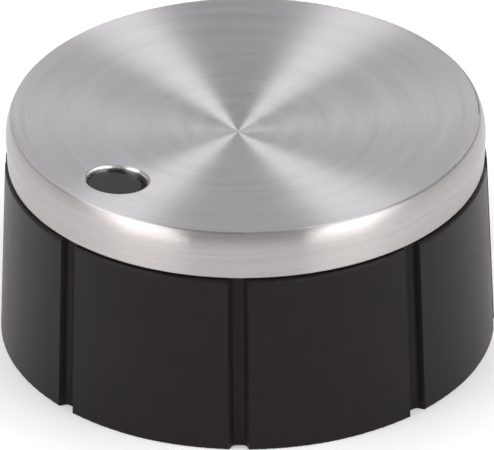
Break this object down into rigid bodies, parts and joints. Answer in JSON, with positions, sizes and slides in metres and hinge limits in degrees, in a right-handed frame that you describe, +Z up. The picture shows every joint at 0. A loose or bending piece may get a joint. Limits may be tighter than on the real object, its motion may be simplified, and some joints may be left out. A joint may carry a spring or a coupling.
{
  "type": "pointer knob",
  "caption": "Round control knob with a fluted black skirt, a dished brushed aluminium cap and a black dot as pointer, pushed on a 6 mm shaft.",
  "frame": {"origin": "centre of the base, where the skirt stands on the panel", "axes": "+Z up the shaft axis and out through the cap; the pointer lies at 225 degrees about +Z from +X"},
  "size_m": [0.04, 0.04, 0.0194],
  "materials": {
    "black_plastic": "satin moulded",
    "brushed_aluminium": "circular brushed",
    "spring_steel": "bright rolled strip"
  },
  "bodies": {
    "root": {"body": "black_plastic", "cap": "brushed_aluminium", "hub_spring": "spring_steel"}
  },
  "joints": []
}
